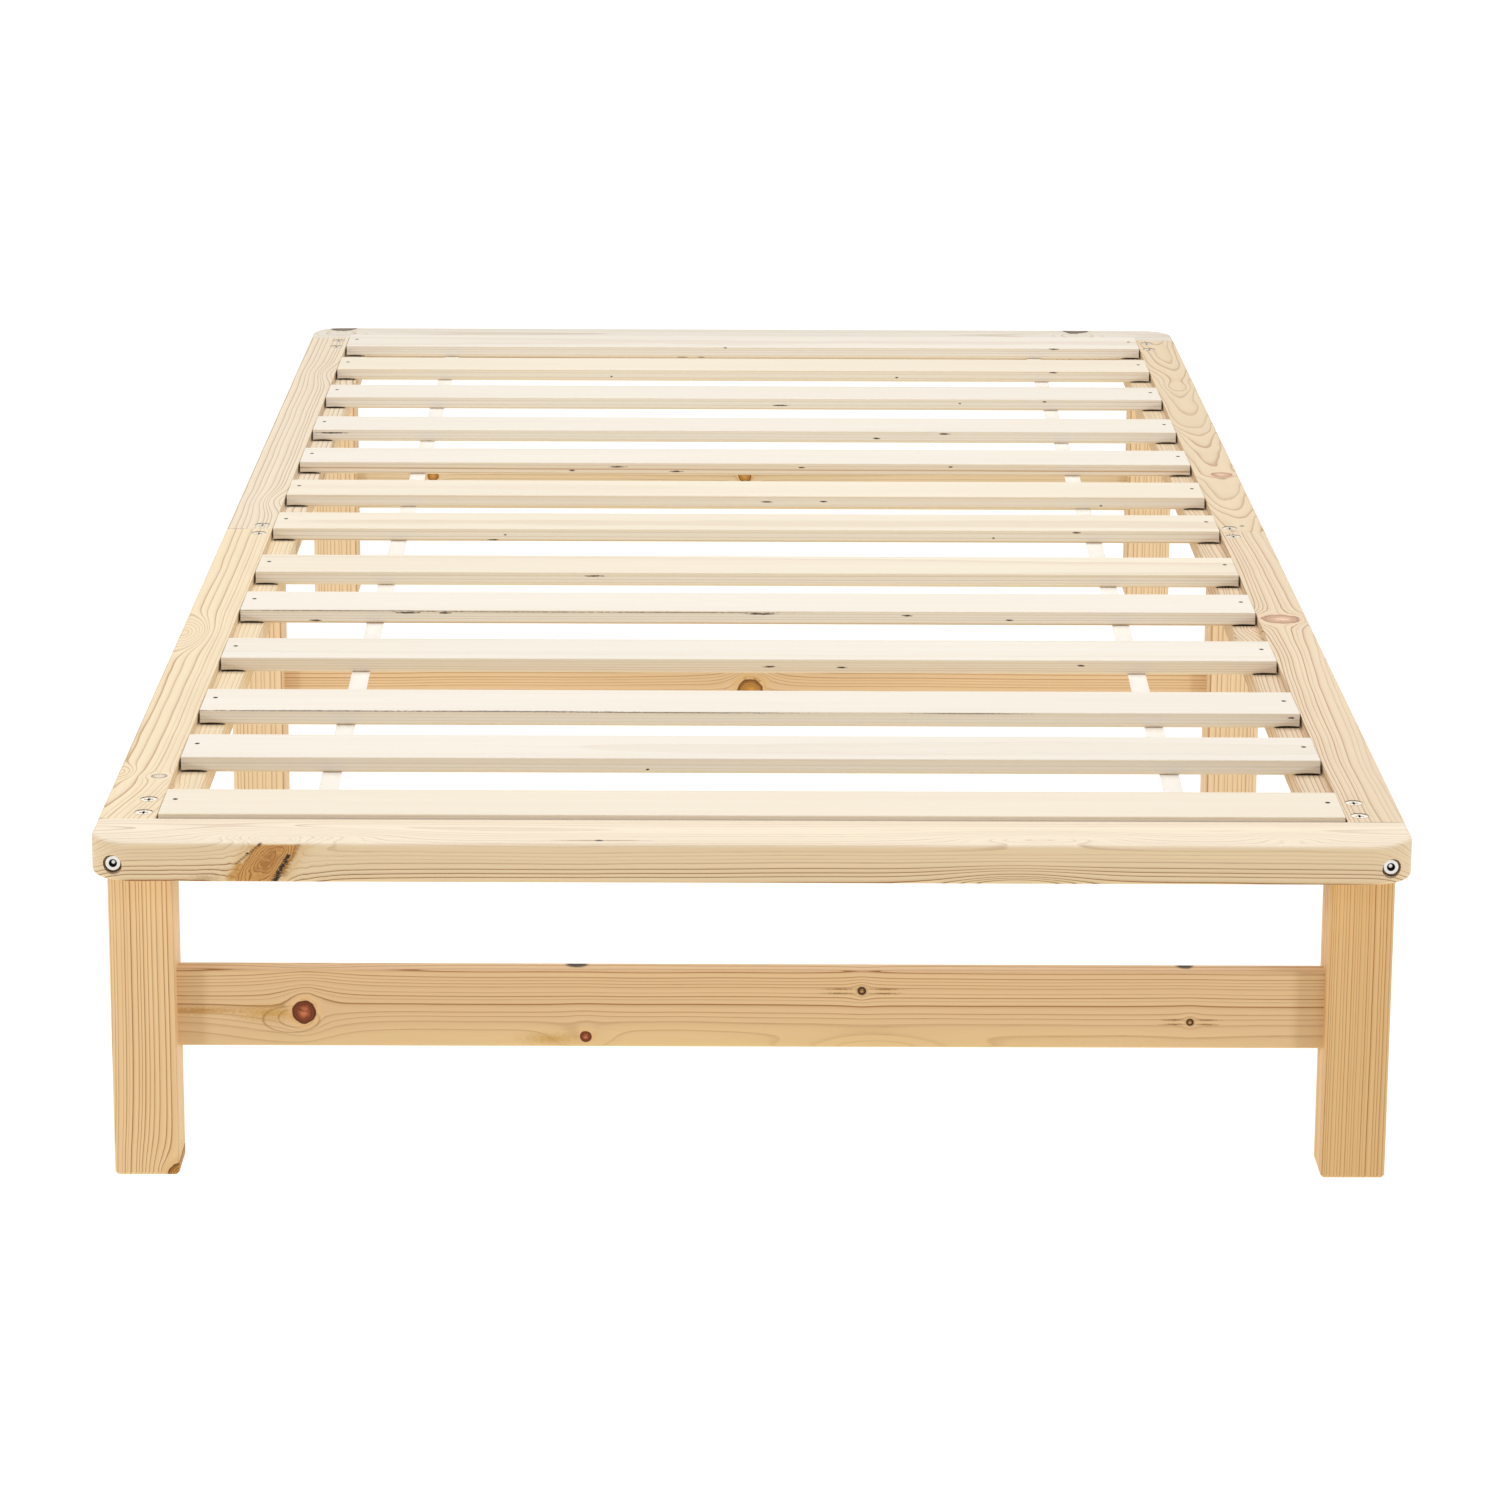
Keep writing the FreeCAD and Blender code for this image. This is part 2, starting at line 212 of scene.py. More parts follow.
# Places in the bed, in millimetres
FRONT_FACE, REAR_FACE = -1000, 1000
FRONT_STRETCHER_FACE = -914.5
MIDDLE_STRETCHER_FACE = -9
REAR_STRETCHER_FACE = 896.5
RAIL_TOP = 263
LEDGE_WALL, LEDGE_MIDDLE = 410, 400
JOINT_LINE = -940
BOLT_LINE, BOLT_HEIGHT = 433.6, 246
SOCKET_FLOOR_EDGE, SOCKET_WALL_EDGE = (0.9, 1.5), (2.7, 3.0)
LEG_ROWS = (-905.5, 0, 905.5)
SCREW_LINE, SCREW_STEP = 420, 17
SCREW_RECESS = (261.6, 262.4)
NAIL_LINE, NAIL_BEHIND_CENTRE = 400.2, 5
SLAT_GAP_HEIGHT = 257.5
SEAM_MIDDLE = -440.5
SLATS = [f"slat_{number:02d}" for number in range(1, 14)]

# The branch in the front rail's face: its borders from (x, z) to (x, z)
BRANCH_LEFT = ((-332.5, 262), (-349, 248.5))
BRANCH_RIGHT = ((-314, 254), (-323.5, 236))
BRANCH_BARK = ((-306.5, 261), (-317.5, 240))
BRANCH_GOLD = ((-347.5, 247), (-353.5, 236.5))
BRANCH_SPOTS = ((-333.5, 261.5), (-341.5, 255.5))
BRANCH_TOP = 262.3

# The front stretcher's loops: x, z and half sizes. Its pin knots: x, z, diameter and length of streak
ALMOND_LOOPS = ((-321.5, 110.5, (20.5, 8, 10)), (-318, 111.5, (13, 8, 7)))
PIN_KNOTS = ((77.5, 132.5, 6, 22), (307.5, 110.5, 5.5, 16))
PIN_STREAK_RISES = (1.4, -1.8)
PIN_STREAK_START = 0.7

# Pitch flecks in the front edges of the slats: x, height above the slat's underside and half length
SLAT_FLECKS = {
    2: [(-74, 3, 1.5)],
    3: [(163, 10.5, 55), (-330, 11, 110), (-190, 11, 110), (-50, 10.5, 110), (402, 8, 3)],
    4: [(16, 5.5, 6.5), (71.5, 5, 4.5), (257, 7, 3.5)],
    5: [(-274, 9, 12.5), (-244, 9, 6), (-348, 2.5, 6), (128, 8, 5), (210, 4.5, 4), (10, 9, 14),
        (-330, 10.5, 110), (-190, 10, 110), (-50, 10, 110)],
    6: [(-127, 8.5, 9.5)],
    7: [(-218.5, 1.5, 6), (-208, 6, 1.5), (285, 9.5, 4.5), (213, 4.5, 1.5)],
    8: [(18.5, 6, 6), (69, 6.5, 4), (316, 3.5, 1.5)],
    9: [(-159, 4, 3.5), (-63.5, 3.5, 7.5), (-116.5, 7.5, 9), (188.5, 8.5, 2.5), (51.5, 7.5, 4)],
    10: [(-390, 8, 18), (189, 9, 6.5), (125, 4.5, 4.5)],
    11: [(294, 9, 2.5), (35.5, 4.5, 9), (211, 7, 1.5)],
    12: [(312, 10, 5), (154.5, 4.5, 2), (-132.5, 4.5, 1.5)],
    13: [(-18, 10.5, 2), (-62.5, 0.5, 7), (-43, 0.5, 5), (320.5, 10.5, 6.5)],
}
LONG_FLECK = 20
FLECK_SPREAD = 1.3
SLAT_CONTRAST = {5: 1.2, 6: 1.4, 7: 1.3, 9: 0.9, 10: 0.8, 11: 1.2, 12: 0.8, 13: 0.9}
USUAL_SLAT_CONTRAST = 0.65
# Slats without the painted light on their long faces
WARM_EDGED_SLATS = (4, 9)
CREAM_SLATS = (1, 6, 7, 8, 12)

STRAP_THICK = 1.0 * MM
STRAP_SAG = 3.0 * MM
STRAP_SAG_POWER = 1.5
STRAP_STEP = 3.0 * MM
STRAP_EDGE_POINTS = 4


class Nodes:
    """Writes shader nodes. Most methods take numbers, tuples or sockets and give an output socket."""

    def __init__(self, tree):
        self.tree = tree
        tree.nodes.clear()

    def add(self, kind, values=None, **settings):
        """The new node itself, with its settings and its inputs' values."""
        node = self.tree.nodes.new(kind)
        for name, setting in settings.items():
            setattr(node, name, setting)
        for name, value in (values or {}).items():
            self.feed(node.inputs[name], value)
        return node

    def feed(self, socket, value):
        """Links an output to an input, or sets the input to a number, vector or colour."""
        if isinstance(value, bpy.types.NodeSocket):
            self.tree.links.new(value, socket)
        else:
            socket.default_value = value

    def use(self, group, **values):
        """The outputs of a group with these inputs."""
        return self.add("ShaderNodeGroup", values, node_tree=group).outputs

    def place(self):
        """The place in the bed in metres, because every part's origin is the bed's."""
        return self.add("ShaderNodeTexCoord").outputs["Object"]

    def parts(self, vector):
        """A vector's three numbers."""
        return self.add("ShaderNodeSeparateXYZ", {0: vector}).outputs

    def joined(self, *numbers):
        """A vector of up to three numbers."""
        return self.add("ShaderNodeCombineXYZ", dict(enumerate(numbers))).outputs[0]

    def math(self, operation, *values):
        """The result of an operation on numbers."""
        return self.add("ShaderNodeMath", dict(enumerate(values)), operation=operation).outputs[0]

    def vector(self, operation, *values):
        """The result of an operation on vectors: a number for a length or a dot product."""
        node = self.add("ShaderNodeVectorMath", dict(enumerate(values)), operation=operation)
        return node.outputs["Value" if operation in ("LENGTH", "DOT_PRODUCT") else "Vector"]

    def scale(self, vector, amount):
        """A vector or a colour times a number."""
        node = self.add("ShaderNodeVectorMath", {0: vector, "Scale": amount}, operation="SCALE")
        return node.outputs["Vector"]

    def rise(self, value, low, high):
        """0 below low, 1 above high and smooth between them."""
        values = {"Value": value, "From Min": low, "From Max": high}
        return self.add("ShaderNodeMapRange", values, interpolation_type="SMOOTHSTEP").outputs["Result"]

    def fall(self, value, low, high):
        """1 below low, 0 above high and smooth between them."""
        return self.math("SUBTRACT", 1.0, self.rise(value, low, high))

    def spread(self, value, low, high):
        """A share from 0 to 1 as a number from low to high."""
        return self.math("MULTIPLY_ADD", value, high - low, low)

    def noise(self, place, density, detail, output="Fac"):
        """Noise from 0 to 1 with that many lumps a metre along each axis."""
        stretched = self.vector("MULTIPLY", place, density)
        values = {"Vector": stretched, "Scale": 1.0, "Detail": detail}
        return self.add("ShaderNodeTexNoise", values).outputs[output]

    def jitter(self, place, density, detail):
        """Vectors of noise in every direction."""
        noise = self.noise(place, density, detail, "Color")
        return self.vector("SUBTRACT", noise, (NOISE_MIDDLE, NOISE_MIDDLE, NOISE_MIDDLE))

    def centred(self, noise):
        """Noise as a number round 0."""
        return self.math("SUBTRACT", noise, NOISE_MIDDLE)

    def mix(self, share, first, second):
        """The first colour at share 0 and the second at share 1."""
        node = self.add("ShaderNodeMix", {0: share, 6: first, 7: second}, data_type="RGBA")
        return node.outputs[2]


def shader_group(name, inputs, outputs):
    """A new node group: its writer, its inputs and its outputs."""
    tree = bpy.data.node_groups.new(name, "ShaderNodeTree")
    for side, sockets in (("INPUT", inputs), ("OUTPUT", outputs)):
        for label, kind in sockets.items():
            tree.interface.new_socket(label, in_out=side, socket_type="NodeSocket" + kind)
    nodes = Nodes(tree)
    return nodes, nodes.add("NodeGroupInput").outputs, nodes.add("NodeGroupOutput").inputs


def ring_age(n, given):
    """How many rings a place is from the pith line, and how far it is in metres."""
    grain = given["Grain"]
    drift = n.scale(n.jitter(grain, *DRIFT), n.math("MULTIPLY", given["Wander"], NOISE_SWING))
    wandered = n.vector("ADD", grain, drift)
    radius = n.vector("LENGTH", n.vector("MULTIPLY", wandered, ACROSS_GRAIN))
    wave = n.centred(n.noise(grain, *WAVE))
    radius = n.math("MULTIPLY_ADD", wave, n.math("MULTIPLY", given["Waves"], NOISE_SWING), radius)
    age = n.math("ADD", n.math("DIVIDE", radius, given["Spacing"]), given["Swell"])
    return n.math("MULTIPLY_ADD", n.noise(n.joined(age), *YEARS), YEARS_SHIFT, age), radius


def late_wood(n, age):
    """1 in the dark end of a year's growth and 0 in its pale beginning."""
    season = n.math("FRACT", age)
    slow = n.math("MULTIPLY", n.rise(season, *SLOW_DARKENING), SLOW_SHARE)
    late = n.math("MULTIPLY_ADD", n.rise(season, *FAST_DARKENING), FAST_SHARE, slow)
    return n.math("MULTIPLY", late, n.fall(season, *YEAR_END))


def ring_contrast(n, given, age, radius):
    """How much a ring stands out: each by its own chance, and less where the wood is plain."""
    ring = n.math("FLOOR", age)
    chance = n.add("ShaderNodeTexWhiteNoise", {"W": ring}, noise_dimensions="1D").outputs["Value"]
    own = n.math("MULTIPLY", n.spread(chance, *RING_STRENGTH), given["Contrast"])
    louder = n.math("SUBTRACT", 1.0, given["Quiet"])
    far = n.rise(radius, given["Plain"], given["Lined"])
    return n.math("MULTIPLY", own, n.math("MULTIPLY_ADD", far, louder, given["Quiet"]))


def pine_group():
    """Year rings round a pith line, plain near it, with fibres, resin canals and slow changes of tone."""
    inputs = {"Grain": "Vector", "Swell": "Float", "Spacing": "Float", "Wander": "Float", "Waves": "Float",
              "Contrast": "Float", "Plain": "Float", "Lined": "Float", "Quiet": "Float", "Early": "Color",
              "Late": "Color"}
    n, given, result = shader_group("pine", inputs, {"Color": "Color", "Height": "Float"})
    grain = given["Grain"]
    age, radius = ring_age(n, given)
    late = late_wood(n, age)
    fibre = n.noise(grain, *FIBRE)
    streak = n.noise(grain, *STREAK)
    patch = n.noise(grain, *PATCH)
    canal = n.math("MULTIPLY", n.rise(n.noise(grain, *CANAL), *CANAL_LEVELS), late)

    contrast = n.math("MULTIPLY", ring_contrast(n, given, age, radius), n.spread(patch, *PATCH_STRENGTH))
    share = n.math("MULTIPLY", late, contrast)
    share = n.math("MULTIPLY_ADD", n.centred(streak), STREAK_SHARE, share)
    share = n.math("MULTIPLY_ADD", n.centred(fibre), FIBRE_SHARE, share)
    share = n.math("MULTIPLY_ADD", canal, CANAL_SHARE, share)
    wood = n.mix(n.math("ADD", share, BASE_SHARE), given["Early"], given["Late"])
    n.feed(result["Color"], n.scale(wood, n.spread(patch, *PATCH_TONE)))
    rings = n.math("MULTIPLY", late, LATE_RELIEF)
    n.feed(result["Height"], n.math("MULTIPLY_ADD", fibre, FIBRE_RELIEF, rings))
    return n.tree


def knot_colour(n, given, straight, distance, reach):
    """The cut through a branch: its rings, its patchy heart and its rim."""
    wave = n.math("SINE", n.math("MULTIPLY", distance, 2 * math.pi / KNOT_RING))
    rings = n.math("MULTIPLY", n.rise(wave, *KNOT_RING_LINE), KNOT_RING_SHARE)
    colour = n.mix(rings, given["Body"], given["Rim"])
    patchy = n.rise(n.noise(straight, *KNOT_HEART), *HEART_LEVELS)
    colour = n.mix(n.math("MULTIPLY", n.fall(reach, *HEART_REACH), patchy), colour, given["Heart"])
    rim = n.math("MULTIPLY", n.rise(reach, *RIM_REACH), given["Edge"])
    return n.mix(rim, colour, given["Rim"])


def knot_group():
    """A branch through the wood up to a ceiling. Shift bends the grain round it."""
    inputs = {"Place": "Vector", "Centre": "Vector", "Axis": "Vector", "Side": "Vector", "Radius": "Float",
              "Edge": "Float", "Ceiling": "Float", "Rim": "Color", "Body": "Color", "Heart": "Color",
              "Halo": "Color"}
    outputs = {"Shift": "Vector", "Color": "Color", "Core": "Float", "Glow": "Float"}
    n, given, result = shader_group("knot", inputs, outputs)
    straight = n.vector("SUBTRACT", given["Place"], given["Centre"])
    roughness = n.math("MULTIPLY", given["Radius"], KNOT_ROUGHNESS)
    offset = n.vector("ADD", straight, n.scale(n.jitter(given["Place"], *KNOT_OUTLINE), roughness))
    length = n.vector("DOT_PRODUCT", offset, given["Axis"])
    away = n.vector("SUBTRACT", offset, n.scale(given["Axis"], length))
    distance = n.vector("LENGTH", away)
    reach = n.math("DIVIDE", distance, given["Radius"])

    flow = n.math("MINIMUM", n.math("POWER", n.math("DIVIDE", GRAIN_BEND, reach), 2.0), 1.0)
    aside = n.vector("MULTIPLY", away, given["Side"])
    n.feed(result["Shift"], n.scale(aside, n.math("MULTIPLY", flow, -1.0)))

    ceiling = given["Ceiling"]
    below = n.fall(n.parts(given["Place"])[2], n.math("SUBTRACT", ceiling, CEILING_FADE), ceiling)
    core = n.math("MULTIPLY", n.fall(reach, *CORE_REACH), below)
    colour = knot_colour(n, given, straight, distance, reach)
    n.feed(result["Color"], n.mix(core, given["Halo"], colour))
    n.feed(result["Core"], core)
    n.feed(result["Glow"], n.math("MULTIPLY", n.fall(reach, *HALO_REACH), below))
    return n.tree


def lump_group():
    """A swelling in the year rings, that many rings high, which makes the loops of a flat-sawn face."""
    inputs = {"Place": "Vector", "Centre": "Vector", "Half": "Vector", "Rings": "Float"}
    n, given, result = shader_group("lump", inputs, {"Swell": "Float"})
    offset = n.vector("DIVIDE", n.vector("SUBTRACT", given["Place"], given["Centre"]), given["Half"])
    steep = n.math("POWER", n.vector("LENGTH", offset), 2.0)
    hill = n.math("EXPONENT", n.math("MULTIPLY", steep, -1.0))
    n.feed(result["Swell"], n.math("MULTIPLY", hill, given["Rings"]))
    return n.tree


def fleck_group():
    """A mark with a torn outline: a stain, a pitch pocket, painted shade in a hole, painted light. A hollow
    one is a ring.
    """
    inputs = {"Place": "Vector", "Centre": "Vector", "Half": "Vector", "Soft": "Float", "Outer": "Float",
              "Torn": "Float", "Hollow": "Float"}
    n, given, result = shader_group("fleck", inputs, {"Mask": "Float"})
    offset = n.vector("DIVIDE", n.vector("SUBTRACT", given["Place"], given["Centre"]), given["Half"])
    reach = n.vector("LENGTH", offset)
    torn = n.math("MULTIPLY", n.noise(given["Place"], *TEAR), given["Torn"])
    mask = n.fall(n.math("ADD", reach, torn), given["Soft"], given["Outer"])
    hole = n.rise(reach, n.math("SUBTRACT", given["Hollow"], HOLLOW_FADE), given["Hollow"])
    n.feed(result["Mask"], n.math("MULTIPLY", mask, hole))
    return n.tree


PINE = pine_group()
KNOT = knot_group()
LUMP = lump_group()
FLECK = fleck_group()


def new_material(name):
    """A new material and the writer of its nodes."""
    material = bpy.data.materials.new(name)
    material.use_nodes = True
    return material, Nodes(material.node_tree)


def finish_surface(n, colour, height, roughness, bump, metallic=0.0, **uniform):
    """The shader of a material, with its bump and its uneven roughness."""
    relief = n.add("ShaderNodeBump", {"Strength": bump, "Distance": RELIEF_DEPTH, "Height": height})
    shader = n.add("ShaderNodeBsdfPrincipled", {
        "Base Color": colour, "Roughness": n.spread(height, *roughness), "Metallic": metallic,
        "Normal": relief.outputs["Normal"]})
    for name, value in uniform.items():
        n.feed(shader.inputs[name.replace("_", " ")], value)
    n.add("ShaderNodeOutputMaterial", {"Surface": shader.outputs[0]})


def grain_space(n, place, grain, pith, slope, seed):
    """Along the grain, and across and through it from the pith line, in metres."""
    parts = n.parts(place)
    along, across, through = (parts[index] for index in GRAIN_ORDER[grain])
    across = n.math("MULTIPLY_ADD", along, -slope[0], n.math("SUBTRACT", across, pith[0]))
    through = n.math("MULTIPLY_ADD", along, -slope[1], n.math("SUBTRACT", through, pith[1]))
    return n.joined(n.math("ADD", along, seed * SEED_STEP), across, through)


def marked(n, place, colour, marks):
    """A colour with marks over it, one after the other: stain marks, flecks, painted shade and painted light.
    """
    for tint, strength, shape in marks:
        mask = n.use(FLECK, Place=place, **shape)["Mask"]
        colour = n.mix(n.math("MULTIPLY", mask, strength), colour, tint)
    return colour


def pine(name, tone, grain, pith, seed, slope=(0, 0), spacing=2.4 * MM, wander=4 * MM, waves=0.8 * MM,
         contrast=0.75, plain=-2 * MM, lined=-1 * MM, quiet=PLAIN_CONTRAST, knots=(), lumps=(), stains_and_painted_light=(),
         flecks=()):
    """The wood of one board, with rings round its pith line, knots, lumps, stain marks and, over them,
    flecks. The slats' stain marks are painted light, and some flecks are painted shade.

    Its rings are quiet nearer to the pith line than plain, and have their full contrast beyond lined.
    """
    material, n = new_material(name)
    place = n.place()
    side = [1.0, 1.0, 1.0]
    side["XYZ".index(grain)] = 0.0
    grown = [n.use(KNOT, Place=place, Side=side, **one) for one in knots]
    bent, swell = place, 0.0
    for made in grown:
        bent = n.vector("ADD", bent, made["Shift"])
    for one in lumps:
        swell = n.math("ADD", n.use(LUMP, Place=place, **one)["Swell"], swell)
    wood = n.use(PINE, Grain=grain_space(n, bent, grain, pith, slope, seed), Swell=swell, Spacing=spacing,
                 Wander=wander, Waves=waves, Contrast=contrast, Plain=plain, Lined=lined, Quiet=quiet,
                 Early=EARLY[tone], Late=LATE[tone])
    colour = marked(n, place, wood["Color"], stains_and_painted_light)
    for made in grown:
        shown = n.math("MAXIMUM", made["Core"], n.math("MULTIPLY", made["Glow"], HALO_SHARE))
        colour = n.mix(shown, colour, made["Color"])
    colour = marked(n, place, colour, flecks)
    finish_surface(n, colour, wood["Height"], WOOD_ROUGHNESS, WOOD_BUMP, Specular_IOR_Level=WOOD_SPECULAR)
    return material


def steel(name, tone, roughness, recess=None):
    """Plated steel, with fine scratches, slightly uneven brightness and painted shade in its recess."""
    material, n = new_material(name)
    place = n.place()
    scratch = n.noise(place, *SCRATCH)
    colour = n.scale(tone[:3], n.spread(n.noise(place, *CLOUD), *STEEL_CLOUD_TONE))
    if recess:
        # painted shade: the recess is darkened as if it lay in shadow
        colour = n.mix(recess(n, place), colour, PAINTED_RECESS_SHADE)
    finish_surface(n, colour, scratch, roughness, STEEL_BUMP, metallic=1.0)
    return material


def millimetres(*values):
    """These millimetres in metres."""
    return tuple(value * MM for value in values)


def cross_recess(n, place):
    """The part of a leg screw below its head's flat top, where shade is painted."""
    return n.fall(n.parts(place)[2], *millimetres(*SCREW_RECESS))


def bolt_socket(n, place):
    """The walls of a corner bolt's socket, round a bright floor, where shade is painted."""
    parts = n.parts(place)
    across = n.math("SUBTRACT", n.math("ABSOLUTE", parts[0]), BOLT_LINE * MM)
    up = n.math("SUBTRACT", parts[2], BOLT_HEIGHT * MM)
    away = n.vector("LENGTH", n.joined(across, up))
    outside_floor = n.rise(away, *millimetres(*SOCKET_FLOOR_EDGE))
    return n.math("MULTIPLY", outside_floor, n.fall(away, *millimetres(*SOCKET_WALL_EDGE)))


def webbing():
    """White woven tape: weft ribs across it and warp ends along it."""
    material, n = new_material("webbing")
    place = n.place()
    parts = n.parts(place)
    weft = n.math("SINE", n.math("MULTIPLY", parts[1], 2 * math.pi / WEFT_PITCH))
    warp = n.math("SINE", n.math("MULTIPLY", parts[0], 2 * math.pi / WARP_PITCH))
    weave = n.math("MULTIPLY_ADD", n.math("MULTIPLY", weft, warp), 0.5, 0.5)
    fuzz = n.noise(place, *FUZZ)
    height = n.math("MULTIPLY_ADD", fuzz, FUZZ_RELIEF, n.math("MULTIPLY", weave, WEAVE_RELIEF))
    colour = n.mix(n.rise(height, *WEBBING_LEVELS), WEBBING_SHADE, WEBBING_WHITE)
    finish_surface(n, colour, height, WEBBING_ROUGHNESS, WEBBING_BUMP, Sheen_Weight=0.15, Sheen_Roughness=0.5,
                   Subsurface_Weight=0.6, Subsurface_Radius=(1.0, 0.9, 0.8), Subsurface_Scale=3 * MM)
    return material


def dress(node, material):
    """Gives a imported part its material."""
    mesh = NODES[node].data
    mesh.materials.clear()
    mesh.materials.append(material)


def knot(centre, axis, diameter, kind="red", ceiling=NO_CEILING):
    """A knot from its centre, its diameter and the height where it ends, in millimetres."""
    rim, body, heart, halo = KNOT_TONES[kind]
    return {"Centre": millimetres(*centre), "Axis": Vector(axis).normalized(), "Radius": diameter / 2 * MM,
            "Edge": KNOT_EDGE.get(kind, USUAL_KNOT_EDGE), "Ceiling": ceiling * MM,
            "Rim": rim, "Body": body, "Heart": heart, "Halo": halo}


def lump(centre, half, rings):
    """A swelling in the rings from its centre and half sizes in millimetres."""
    return {"Centre": millimetres(*centre), "Half": millimetres(*half), "Rings": rings}


def fleck(centre, half, tone=PITCH_DARK, strength=1.0, soft=0.75, outer=1.3, torn=0.9, hollow=NOT_HOLLOW):
    """A mark from its centre and half sizes in millimetres: a stain, a pitch pocket, painted shade, painted
    light.

    The last four are shares of the half sizes: it is full up to soft and gone at outer, its outline is
    torn by up to torn, and it is empty inside hollow.
    """
    shape = {"Centre": millimetres(*centre), "Half": millimetres(*half), "Soft": soft, "Outer": outer,
             "Torn": torn, "Hollow": hollow}
    return tone, strength, shape


def along(start, end, count):
    """Places in even steps from one (x, z) place to another, with the share of the way."""
    for step in range(count):
        share = step / (count - 1)
        yield [a + (b - a) * share for a, b in zip(start, end)], share


def branch_border():
    """The borders of the branch in the front rail's face: gold resin, torn bark, a dark line and spots."""
    marks = []
    for (x, z), _ in along(*BRANCH_GOLD, 5):
        marks.append(fleck((x, FRONT_FACE, z), (5.5, 9, 5), GOLD, 0.75, soft=0.3))
    for (x, z), _ in along(*BRANCH_LEFT, 11):
        marks.append(fleck((x, FRONT_FACE, z), (1.5, 6, 1.0), BARK, 0.7, torn=0.5))
    for (x, z), _ in along(*BRANCH_BARK, 9):
        marks.append(fleck((x, FRONT_FACE, z), (4.2, 6, 2.6), BARK, 0.75, soft=0.2, torn=1.1))
    for (x, z), share in along(*BRANCH_RIGHT, 13):
        marks.append(fleck((x, FRONT_FACE, z), (3.6 + 1.6 * share, 6, 2.8), BARK_SHADE, torn=1.25))
    for x, z in BRANCH_SPOTS:
        marks.append(fleck((x, FRONT_FACE, z), (1.9, 6, 1.2)))
    return marks


def top_pitch():
    """A pitch pocket near the front edge of the front rail's top, with a thin streak on both sides."""
    place = (-104, FRONT_FACE + 8, RAIL_TOP)
    streak = fleck(place, (42, 1.4, 2), STREAK_BROWN, 0.7, torn=0.6)
    return [streak, fleck(place, (3.4, 2.2, 2), torn=0.4)]


def bolt_holes(face):
    """The shade inside the counterbores, deepest on their lower, outer sides."""
    shift = 0.6
    places = [(side * (BOLT_LINE + shift), face, BOLT_HEIGHT - shift) for side in (-1, 1)]
    return [fleck(place, (6.3, 9, 6.3), SHADE_AND_JOINT_DARK, 0.9, soft=0.96, outer=1.02, torn=0.06) for place in places]


def screw_rim_shade(side, low, high):
    """Painted shade: a thin dark line round each screw head in a side rail, in the gap round it."""
    places = [(side * SCREW_LINE, row + step * SCREW_STEP, RAIL_TOP) for row in LEG_ROWS for step in (-1, 1)]
    return [fleck(place, (6.9, 7.6, 4), SHADE_AND_JOINT_DARK, 0.95, soft=0.98, outer=1.2, torn=0.4, hollow=0.84)
            for place in places if low < place[1] < high]


def slat_gap_shade(side, low, high):
    """Painted shade in the gap between each slat's end and the wall of the rebate."""
    middles = [sum(corner.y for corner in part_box(slat)) / 2 / MM for slat in SLATS]
    return [fleck((side * LEDGE_WALL, y, SLAT_GAP_HEIGHT), (3.4, 54, 7), SHADE_AND_JOINT_DARK, 0.95)
            for y in middles if low < y < high]


def seam_line():
    """The thin dark line where the halves of the left side rail meet."""
    return fleck((SEAM_MIDDLE, 0, RAIL_TOP), (10, 0.9, 3), SHADE_AND_JOINT_DARK, 0.6, torn=0.3)


def front_rail_wood():
    """A top with long loops, a face with lines low down, and a branch near its left end."""
    return dict(
        tone="rail", grain="X", pith=millimetres(-965, 290), spacing=2.3 * MM, wander=3 * MM,
        plain=51 * MM, lined=61 * MM, contrast=2.2,
        knots=[knot((-328, FRONT_FACE, 250), (0.54, -0.4, 0.7), 28, "branch", BRANCH_TOP)],
        lumps=[lump((-311, -982, 264), (66, 14, 4), 8), lump((195, -984, 264), (62, 13, 4), 8),
               lump((366, -983, 264), (30, 12, 4), 5), lump((180, FRONT_FACE, 236), (45, 16, 10), 3)],
        stains_and_painted_light=[fleck((-370, FRONT_FACE, 238), (20, 9, 5), STREAK_BROWN, 0.5, soft=0.1)],
        flecks=branch_border() + bolt_holes(FRONT_FACE) + top_pitch())


def rear_rail_wood():
    """Straight lines and two dark knots in the rear edge of its top."""
    return dict(
        tone="grey_rail", grain="X", pith=millimetres(970, 200), spacing=3.0 * MM, wander=2 * MM,
        knots=[knot((-421, REAR_FACE - 1, 260), (0, 0.75, 0.66), 31, "dark"),
               knot((351, REAR_FACE, 260), (0, 0.8, 0.6), 30, "dark")],
        flecks=bolt_holes(REAR_FACE))


def left_front_wood():
    """Wavy lines, a ringed knot near the front, and an open joint at the front rail."""
    return dict(
        tone="cream_rail", grain="Y", pith=millimetres(-452, 300), spacing=2.6 * MM, wander=3 * MM,
        waves=1.2 * MM, contrast=0.95,
        knots=[knot((-419.5, -827, RAIL_TOP), (0, 0, 1), 12, "ring")],
        lumps=[lump((-445, -389, RAIL_TOP), (16, 42, 30), -6),
               lump((-447, -816, RAIL_TOP), (9, 16, 30), -2.5),
               lump((-425, -960, RAIL_TOP), (40, 80, 40), 5)],
        flecks=[fleck((-448, JOINT_LINE, RAIL_TOP), (5, 1.6, 6), SHADE_AND_JOINT_DARK, 0.8, torn=0.4), seam_line()])


